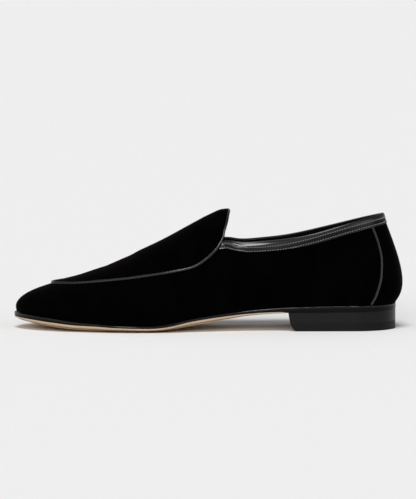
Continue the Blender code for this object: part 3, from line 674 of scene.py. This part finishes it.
def number_by_place(piece):
    """Numbers the points, edges and faces by their distance from the origin."""
    pick(piece)
    bpy.ops.object.mode_set(mode="EDIT")
    bpy.ops.mesh.select_mode(type="VERT")
    bpy.ops.mesh.select_all(action="SELECT")
    bpy.ops.mesh.sort_elements(type="CURSOR_DISTANCE", elements={"VERT", "EDGE", "FACE"})
    bpy.ops.object.mode_set(mode="OBJECT")


for side in (-1.0, 1.0):
    lengthen_end(binding, side)
number_by_place(binding)

# %% [markdown]
# ## Edges that show the way
#
# The stitches run beside the lower edges of the binding, and later the sole's
# corners are cut along its own edges. Both are hard edges of the solid, so they
# are read from the mesh before it is smoothed: from each end or corner the walk
# goes on from edge to edge until the line ends or comes back to its start.
# Lines are told apart by where they lie, and each open line is turned so that it
# starts on the outer side, because the order of a mesh says nothing about place.

# %% Hard edges as lines
LONG_LINE = 40


def hard_lines(piece):
    """The long hard edges of a piece as rows of points, cut where three of them meet."""
    work = bmesh.new()
    work.from_mesh(piece.data)
    hard = [e for e in work.edges if len(e.link_faces) == 2 and e.calc_face_angle() > CRISP]
    around = {}
    for edge in hard:
        for vertex in edge.verts:
            around.setdefault(vertex.index, []).append(edge)
    ends = [v for v, edges in around.items() if len(edges) != 2]
    used = set()
    lines = []
    for start in ends + list(around):
        for first in around[start]:
            if first.index in used:
                continue
            row = [start]
            edge = first
            while edge and edge.index not in used:
                used.add(edge.index)
                last = [v.index for v in edge.verts if v.index != row[-1]][0]
                row.append(last)
                onward = [e for e in around[last] if e.index not in used]
                edge = onward[0] if len(around[last]) == 2 and onward else None
            line = np.array([list(piece.data.vertices[v].co) for v in row])
            if len(line) > LONG_LINE:
                lines.append(line if line[0, 1] <= line[-1, 1] else line[::-1])
    work.free()
    return sorted(lines, key=lambda line: line[:, 2].mean())


binding_edges = hard_lines(binding)
edge_heights = [round(line[:, 2].mean() / MM, 1) for line in binding_edges]
print("mean heights of the binding's edges in mm:", edge_heights)

# %% [markdown]
# ## The binding's shape
#
# In the photograph the outer side of the collar dips a little less than the
# solid's, and its front end runs lower into the throat. Gentle pushes from the
# side, as on the tongue, draw both without a kink.

# %% Rounding and pushing the binding
BINDING_PUSHES = [(10.0, 71.0, 10.0, 0.0, -1.2)]
OUTER_BINDING_PUSHES = [(44.0, 64.0, 42.0, 0.0, 1.5), (22.0, 59.5, 11.0, 0.0, 0.7)]
crease_hard_edges(binding, 0.55)
smooth_skin(binding, 3)
push_from_side(binding, BINDING_PUSHES)
push_from_side(binding, OUTER_BINDING_PUSHES, only_outer=True)

# %% [markdown]
# ## Channels for the stitches
#
# A pulled stitch draws the leather down, and the leather above it bulges into a
# soft roll that hands keep polished. The stitch lines lie a set height above the
# lower edges. The wall leans inwards, so the inner line is also moved inwards, or
# it would stick to the hidden side of the leather. The roll is raised first, then
# the channels are pressed.

# %% Roll and stitch channels
OUTER_STITCH_RISE = 1.3 * MM
INNER_STITCH_RISE = 1.7 * MM
INNER_STITCH_REACH = 1.0 * MM
UPPER_STITCH_RISE = 4.5 * MM
STITCH_CHANNEL = 0.42 * MM
STITCH_DEPTH = 0.25 * MM
ROLL_RISE = 6.0 * MM
ROLL_WIDTH = 1.5 * MM
ROLL_SWELL = 0.40 * MM


def lift_along(points, rise, inwards=0.0):
    """A path moved up its wall by a distance, and towards the middle of the collar by another."""
    heading = np.gradient(points, axis=0)
    heading /= np.linalg.norm(heading, axis=1)[:, None]
    up = np.array([0.0, 0.0, 1.0]) - heading * heading[:, 2:]
    up /= np.linalg.norm(up, axis=1)[:, None]
    across = np.cross(up, heading)
    across *= np.sign(((points.mean(axis=0) - points) * across).sum(axis=1))[:, None]
    return points + up * rise + across * inwards


LOW_EDGES = 4
by_reach = sorted(binding_edges[:LOW_EDGES], key=lambda points: np.abs(points[:, 1]).mean())
outer_row = stick(binding, lift_along(by_reach[-1], OUTER_STITCH_RISE))
inner_row = stick(binding, lift_along(by_reach[0], INNER_STITCH_RISE, INNER_STITCH_REACH))
outer_roll = stick(binding, lift_along(by_reach[-1], ROLL_RISE))
press(binding, outer_roll, ROLL_WIDTH, -ROLL_SWELL)
upper_row = stick(binding, lift_along(by_reach[-1], UPPER_STITCH_RISE))
for row in (outer_row, inner_row, upper_row):
    press(binding, row, STITCH_CHANNEL, STITCH_DEPTH)
rub(binding, outer_roll, ROLL_WIDTH)
rub(binding, stick(binding, by_reach[-1]), STITCH_CHANNEL)
print("stitch lines:", [len(row) for row in (outer_row, inner_row, upper_row)], "points")
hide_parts("topline_binding")
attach(binding, "root")

# %% [markdown]
# ## Stitches
#
# One stitch is a short length of thread that dives into the leather at both ends.
# It is modelled once: a small cylinder is laid down, cut across and its ends are
# drawn in and down.

# %% One stitch
THREAD = 0.65 * MM
STITCH_LENGTH = 1.3 * MM
STITCH_PITCH = 2.0 * MM
STITCH_SINK = 0.1 * MM
DIVE_START = 0.32 * STITCH_LENGTH
TIP_START = 0.45 * STITCH_LENGTH
TIP_SHARE = 0.55

# The thread's mid grey is lighter than the black thread it stands for: it is painted glint, so the rows of
# stitches show as bright dots.
thread, _ = new_finish("polyester thread lightened for painted glints", {
    "Base Color": linear("#6a6a6c"), "Roughness": 0.35, "Sheen Weight": 0.3, "Sheen Roughness": 0.5,
})

bpy.ops.object.select_all(action="DESELECT")
bpy.ops.mesh.primitive_cylinder_add(vertices=10, radius=THREAD / 2, depth=STITCH_LENGTH,
                                    rotation=(0, math.pi / 2, 0))
one_stitch = bpy.context.object
bpy.ops.object.transform_apply(location=True, rotation=True, scale=True)
bpy.ops.object.mode_set(mode="EDIT")
for cut in (-DIVE_START, DIVE_START):
    bpy.ops.mesh.select_all(action="SELECT")
    bpy.ops.mesh.bisect(plane_co=(cut, 0, 0), plane_no=(1, 0, 0))
bpy.ops.object.mode_set(mode="OBJECT")
for vertex in one_stitch.data.vertices:
    if abs(vertex.co.x) > TIP_START:
        vertex.co.y *= TIP_SHARE
        vertex.co.z = vertex.co.z * TIP_SHARE - THREAD * TIP_SHARE
one_stitch.data.materials.append(thread)
pick(one_stitch)
bpy.ops.object.shade_smooth()
print("one stitch:", len(one_stitch.data.polygons), "faces")

# %% [markdown]
# ## Rows of stitches
#
# A sewing machine sets its stitches evenly, here every 2 mm. Each copy of the
# stitch has its own mesh, runs along the line, stands square to the leather and is
# sunk into it a little. The copies of a row are joined to one piece.

# %% Rows of stitches


def sew(name, line):
    """Copies the stitch along a line and joins the copies to one row."""
    points = np.array([list(place) for place, _ in line])
    step = max(1, round(STITCH_PITCH / LINE_STEP))
    row = []
    for i in range(step, len(line) - step, step):
        place, out = line[i]
        along = Vector(points[i + 1] - points[i - 1]).normalized()
        across = out.cross(along).normalized()
        turn = Matrix((along, across, along.cross(across))).transposed().to_4x4()
        stitch = bpy.data.objects.new(name, one_stitch.data.copy())
        stitch.data.transform(Matrix.Translation(place - out * STITCH_SINK) @ turn)
        bpy.context.scene.collection.objects.link(stitch)
        row.append(stitch)
    pick(*row)
    bpy.ops.object.join()
    row[0].name = name
    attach(row[0], "root")
    print(name, len(row), "stitches")


sew("collar_stitches_outside", outer_row)
sew("collar_stitches_inside", inner_row)
sew("collar_stitches_shoulder", upper_row)
bpy.data.objects.remove(one_stitch)

# %% [markdown]
# ## The sock
#
# A thin calf sock covers the inside of the shoe and lies on the sole. Only its
# top is ever seen, down through the collar.

# %% Sock
sock = start_from("insole", "sock_lining")
sock.data.materials.append(sock_calf)
crease_hard_edges(sock, 0.6)
smooth_skin(sock, 2)
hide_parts("insole")
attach(sock, "root")

# %% [markdown]
# ## The leather sole
#
# The sole is vegetable-tanned ox leather. Its cut edge is inked black and burnished
# with a hot iron, and its underside is left natural tan. The lower corner is
# shaved off at a slant, and the slant stays tan too, so it shows from the side as a
# thin pale line. Ink is a thin film on the leather, dull except where the iron
# and the hand have polished the upper corner. The tan leather has no film, so its
# fibres and the drift of the tanning show.

# %% Inked edge and tan bottom
ink, ink_shader = new_finish("burnished edge ink", {
    "IOR": 1.5, "Specular IOR Level": 0.05, "Coat Roughness": 0.06,
})
rubbed_coat(ink, ink_shader, 0.07, 1.0)
edge_streaks = cloud_pattern(ink, 1.2, stretch=(0.25, 0.25, 1.6))
wire(ink, ink_shader, {
    "Base Color": blend_tones(ink, between(ink, edge_streaks, 0.0, 1.0), "#050505", "#0c0b0a"),
    "Roughness": between(ink, edge_streaks, 0.26, 0.36),
    "Normal": relief(ink, edge_streaks, 0.03, 0.6),
})

tan, tan_shader = new_finish("vegetable tanned sole leather", {"IOR": 1.5})
fibres = cloud_pattern(tan, 0.9, detail=4.0)
drift = cloud_pattern(tan, 22.0, detail=3.0, stretch=(0.5, 1.0, 1.0))
tan_base = blend_tones(tan, between(tan, drift, 0.0, 1.0), "#c8ac89", "#d6c1a1")
wire(tan, tan_shader, {
    "Base Color": blend_tones(tan, between(tan, fibres, 0.0, 0.35), tan_base, "#af895e"),
    "Roughness": between(tan, drift, 0.42, 0.55),
    "Normal": relief(tan, fibres, 0.08, 0.5),
})
print("finishes:", ink.name, tan.name)

# %% [markdown]
# ## Cutting the sole's corners
#
# The maker shaves the lower corner with a knife and rounds the upper one with the
# iron. Each is a bevel along a hard line of the solid: one flat segment for the
# knife, which ends where the heel begins, and two segments for the iron, all round.

# %% Corners of the sole
sole = start_from("outsole", "leather_sole")
sole.data.materials.append(ink)
sole.data.materials.append(tan)
HEEL_BREAST_X = 60 * MM
LOW_SHAVE = 0.75 * MM
TOP_ROUND = 0.8 * MM
long_edges = hard_lines(sole)
for line in long_edges:
    height_and_reach = (line[:, 2].mean() / MM, np.abs(line[:, 1]).mean() / MM)
    print("hard line:", len(line), "points, mean height and reach in mm", np.round(height_and_reach, 1))
low_corner = long_edges[0]
top_corner = max(long_edges[1:], key=lambda line: np.abs(line[:, 1]).mean())


def cut_corner(piece, line, offset, segments, back_end):
    """Bevels the edges of a piece that lie on a line, up to where the line passes the back end."""
    tree = KDTree(len(line))
    for i, point in enumerate(line):
        tree.insert(point, i)
    tree.balance()
    on_line = [tree.find(v.co)[2] < MERGE and v.co.x < back_end for v in piece.data.vertices]
    select_faces(piece, [])
    for edge in piece.data.edges:
        edge.select = all(on_line[i] for i in edge.vertices)
    print("edges to bevel:", sum(edge.select for edge in piece.data.edges))
    bpy.ops.object.mode_set(mode="EDIT")
    bpy.ops.mesh.select_mode(type="EDGE")
    bpy.ops.mesh.bevel(offset=offset, segments=segments, affect="EDGES")
    bpy.ops.object.mode_set(mode="OBJECT")


cut_corner(sole, low_corner, LOW_SHAVE, 1, HEEL_BREAST_X)
cut_corner(sole, top_corner, TOP_ROUND, 2, math.inf)

# %% [markdown]
# ## Ink above, tan below
#
# Faces are told apart by which way they look: those that look down are tan as far
# as the heel, and a little under it, and all others are inked. The sole is then
# smoothed, set flat on the floor and polished along its upper corner.

# %% Finish of the sole
LOOKS_DOWN = -0.5
UNDER_HEEL = 6 * MM
POLISHED_WIDTH = 0.7 * MM


def rest_on_floor(piece):
    """Presses flat what a smoothed edge would push below the floor."""
    for vertex in piece.data.vertices:
        vertex.co.z = max(vertex.co.z, 0.0)
    piece.data.update()


for face in sole.data.polygons:
    in_front = face.center.x < HEEL_BREAST_X + UNDER_HEEL
    face.material_index = 1 if face.normal.z < LOOKS_DOWN and in_front else 0
crease_hard_edges(sole, 0.75)
smooth_skin(sole, 2)
rest_on_floor(sole)
rub(sole, stick(sole, np.vstack([top_corner, top_corner[:1]])), POLISHED_WIDTH)
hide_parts("outsole")
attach(sole, "root")

# %% [markdown]
# ## The channel of the sole seam
#
# The thread that holds the sole runs in a channel cut into the bottom. The lip of
# the channel is glued shut over it and leaves a fine slit 3 mm inside the edge,
# all round the forepart. A thin dark brown bead swept along that line, half sunk
# in the leather, draws it: its dark colour is painted shade of the slit.

# %% Where the channel runs
CHANNEL_INSET = 3.0 * MM
CHANNEL_STEP = 2.0 * MM
BELOW_THE_FLOOR = -10 * MM

# These dark browns are painted shade of the narrow slit, not the tan leather's own colour.
slit_shade_finish = calf_leather("closed channel lip with painted slit shade", "#3a2415", "#553520", 0.5, 0.8, 0.04)
sole_skin = BVHTree.FromObject(sole, bpy.context.evaluated_depsgraph_get())
loop = even_points(np.vstack([low_corner, low_corner[:1]]), CHANNEL_STEP)
middle = loop.mean(axis=0)
channel = []
for i in range(len(loop) - 1):
    heading = loop[(i + 1) % (len(loop) - 1)] - loop[i - 1]
    inward = np.array([-heading[1], heading[0], 0.0]) / np.linalg.norm(heading[:2])
    if np.dot(inward[:2], (middle - loop[i])[:2]) < 0:
        inward = -inward
    spot = loop[i] + inward * CHANNEL_INSET
    channel.append(sole_skin.ray_cast(Vector((spot[0], spot[1], BELOW_THE_FLOOR)), UP)[0])
backmost = max(range(len(channel)), key=lambda i: channel[i].x)
channel = channel[backmost:] + channel[:backmost]
channel = [place for place in channel if place.x < HEEL_BREAST_X]
print("channel points:", len(channel))

# %% [markdown]
# ## A bead along the channel
#
# A curve with a small round section draws an even line, and bending its points to
# the sole is no work at all. It is then turned into a mesh, as all pieces are.

# %% Channel bead
BEAD_RADIUS = 0.35 * MM
rail = bpy.data.curves.new("sole_channel", "CURVE")
rail.dimensions = "3D"
rail.bevel_depth = BEAD_RADIUS
rail.bevel_resolution = 1
stroke = rail.splines.new("POLY")
stroke.points.add(len(channel) - 1)
for point, place in zip(stroke.points, channel):
    point.co = (*place, 1.0)
bead = bpy.data.objects.new("sole_channel", rail)
bpy.context.scene.collection.objects.link(bead)
pick(bead)
bpy.ops.object.convert(target="MESH")
bead = bpy.context.object
bead.data.materials.append(slit_shade_finish)
bpy.ops.object.shade_smooth()
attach(bead, "root")
print("channel bead:", len(bead.data.polygons), "faces")

# %% [markdown]
# ## The stacked heel
#
# The heel is built from layers of leather, glued, trimmed and inked black. Its
# finish is duller than the sole's edge, and trimming leaves fine level streaks in
# the ink, which are a noise pattern stretched along the layers.

# %% Inked stacked leather
stacked, stacked_shader = new_finish("inked stacked leather", {
    "IOR": 1.5, "Specular IOR Level": 0.17, "Coat Weight": 0.04, "Coat Roughness": 0.2,
})
trim_lines = cloud_pattern(stacked, 0.8, stretch=(0.05, 0.05, 1.0))
heel_drift = cloud_pattern(stacked, 10.0, detail=3.0)
wire(stacked, stacked_shader, {
    "Base Color": blend_tones(stacked, between(stacked, trim_lines, 0.0, 1.0), "#0a0a0b", "#101011"),
    "Roughness": between(stacked, heel_drift, 0.34, 0.46),
    "Normal": relief(stacked, trim_lines, 0.03, 0.4),
})
print("finish:", stacked.name)

# %% [markdown]
# ## Layers of the heel
#
# The joints between the layers stay faintly visible as level lines. The block is
# cut across at each joint, and the new edge is drawn in by a twentieth of a
# millimetre. The block also grows a little at its top and bottom, where glue would
# fill the joint to the next piece.

# %% Heel stack
LAYER_JOINTS = (9.4 * MM, 12.1 * MM)
JOINT_HALF_WIDTH = 0.18 * MM
GLUE_LINE = 0.27 * MM
JOINT_DEPTH = 0.05 * MM

heel = start_from("heel_stack", "stacked_heel")
heel.data.materials.append(stacked)
pick(heel)
bpy.ops.object.mode_set(mode="EDIT")
for joint in LAYER_JOINTS:
    for level in (joint - JOINT_HALF_WIDTH, joint, joint + JOINT_HALF_WIDTH):
        bpy.ops.mesh.select_all(action="SELECT")
        bpy.ops.mesh.bisect(plane_co=(0, 0, level), plane_no=(0, 0, 1))
bpy.ops.mesh.select_mode(type="VERT")
bpy.ops.mesh.select_all(action="DESELECT")
bpy.ops.object.mode_set(mode="OBJECT")
for vertex in heel.data.vertices:
    vertex.select = any(abs(vertex.co.z - joint) < MERGE for joint in LAYER_JOINTS)
bpy.ops.object.mode_set(mode="EDIT")
bpy.ops.transform.shrink_fatten(value=-JOINT_DEPTH)
bpy.ops.object.mode_set(mode="OBJECT")
above_joints = LAYER_JOINTS[-1] + MM
for vertex in heel.data.vertices:
    if vertex.co.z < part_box("heel_stack")[0].z + MERGE:
        vertex.co.z -= GLUE_LINE
    elif vertex.co.z > above_joints:
        vertex.co.z += GLUE_LINE
crease_hard_edges(heel, 1.0)
smooth_skin(heel, 2)
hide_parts("heel_stack")
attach(heel, "root")

# %% [markdown]
# ## The top piece
#
# The layer that meets the floor is black rubber, moulded with a fine dimple and
# trimmed flush with the leather above. Its finish is duller than the leather's.

# %% Rubber top piece
rubber, rubber_shader = new_finish("moulded rubber", {"IOR": 1.52, "Specular IOR Level": 0.13})
dimples = cloud_pattern(rubber, 0.7, detail=3.0)
wire(rubber, rubber_shader, {
    "Base Color": blend_tones(rubber, between(rubber, dimples, 0.0, 1.0), "#0b0b0b", "#111111"),
    "Roughness": between(rubber, dimples, 0.45, 0.55),
    "Normal": relief(rubber, dimples, 0.05, 0.5),
})

top_piece = start_from("top_lift", "rubber_top_piece")
top_piece.data.materials.append(rubber)
crease_hard_edges(top_piece, 1.0)
smooth_skin(top_piece, 2)
rest_on_floor(top_piece)
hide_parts("top_lift")
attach(top_piece, "root")

# %% [markdown]
# ## The studio
#
# The shoe stands on a sheet of pale paper so large that its edge is never seen.
# The pale sky lights it evenly from all round.

# %% Paper and sky
PAPER_SIZE = 60.0
SKY_STRENGTH = 0.31
paper, paper_shader = new_finish("matt paper", {"Roughness": 0.9, "Specular IOR Level": 0.2})
paper_tooth = between(paper, cloud_pattern(paper, 2.0), 0.0, 1.0)
wire(paper, paper_shader, {"Base Color": blend_tones(paper, paper_tooth, "#f4f4f4", "#f6f6f6")})

bpy.ops.object.select_all(action="DESELECT")
bpy.ops.mesh.primitive_plane_add(size=PAPER_SIZE, location=(0.0, 0.0, 0.0))
floor = bpy.context.object
floor.name = "paper_floor"
floor.data.materials.append(paper)

sky = bpy.data.worlds.new("studio fill")
sky.use_nodes = True
sky.node_tree.nodes["Background"].inputs["Color"].default_value = linear("#ffffff")
sky.node_tree.nodes["Background"].inputs["Strength"].default_value = SKY_STRENGTH
bpy.context.scene.world = sky
print("sky strength:", SKY_STRENGTH)

# %% [markdown]
# ## The lamps
#
# Four far lamps stand in front of the shoe. The strong one is high and a little to
# the left: it throws a short soft shadow behind and under the shoe. A weak low one
# reaches the sole's edge and the heel. One on each side draws the thin bright
# lines on the piping and the binding. A large lamp angle makes a shadow soft.

# %% Lamps


def add_lamp(name, height_angle, side_angle, energy, softness):
    """A far lamp in front of the shoe. The angles are in degrees, and the side angle is to the left."""
    high, left = math.radians(height_angle), math.radians(side_angle)
    shine = Vector((math.sin(left) * math.cos(high), math.cos(left) * math.cos(high), -math.sin(high)))
    bpy.ops.object.light_add(type="SUN", rotation=shine.to_track_quat("-Z", "Y").to_euler())
    lamp = bpy.context.object
    lamp.name = name
    lamp.data.energy = energy
    lamp.data.angle = math.radians(softness)


add_lamp("high_front_lamp", 64, 8, energy=1.75, softness=22)
add_lamp("low_front_lamp", 20, 8, energy=0.7, softness=16)
add_lamp("left_lamp", 24, 45, energy=0.3, softness=30)
add_lamp("right_lamp", 24, -45, energy=0.3, softness=30)

# %% [markdown]
# ## The camera
#
# The photograph looks straight at the outer side, a little from above, through a
# very long lens, so the near and far sides of the shoe keep almost the same size.
# The lens follows from the distance and the width that the picture shows at the shoe.

# %% Camera
CAMERA_DISTANCE = 8.0
CAMERA_ELEVATION = math.radians(5.25)
PICTURE_WIDTH = 321.8 * MM
SENSOR_WIDTH = 36.0
LOOK_AT = Vector((-0.0003, 0.0, 0.0605))

lens_data = bpy.data.cameras.new("long_lens")
lens_data.sensor_fit = "HORIZONTAL"
lens_data.sensor_width = SENSOR_WIDTH
lens_data.lens = SENSOR_WIDTH * CAMERA_DISTANCE / PICTURE_WIDTH
lens_data.clip_end = 100.0
camera = bpy.data.objects.new("long_lens", lens_data)
bpy.context.scene.collection.objects.link(camera)
away = Vector((0.0, -math.cos(CAMERA_ELEVATION), math.sin(CAMERA_ELEVATION)))
camera.location = LOOK_AT + away * CAMERA_DISTANCE
camera.rotation_euler = (math.pi / 2 - CAMERA_ELEVATION, 0.0, 0.0)
bpy.context.scene.camera = camera
bpy.context.scene.view_settings.view_transform = "Standard"
print("lens in mm:", round(lens_data.lens))
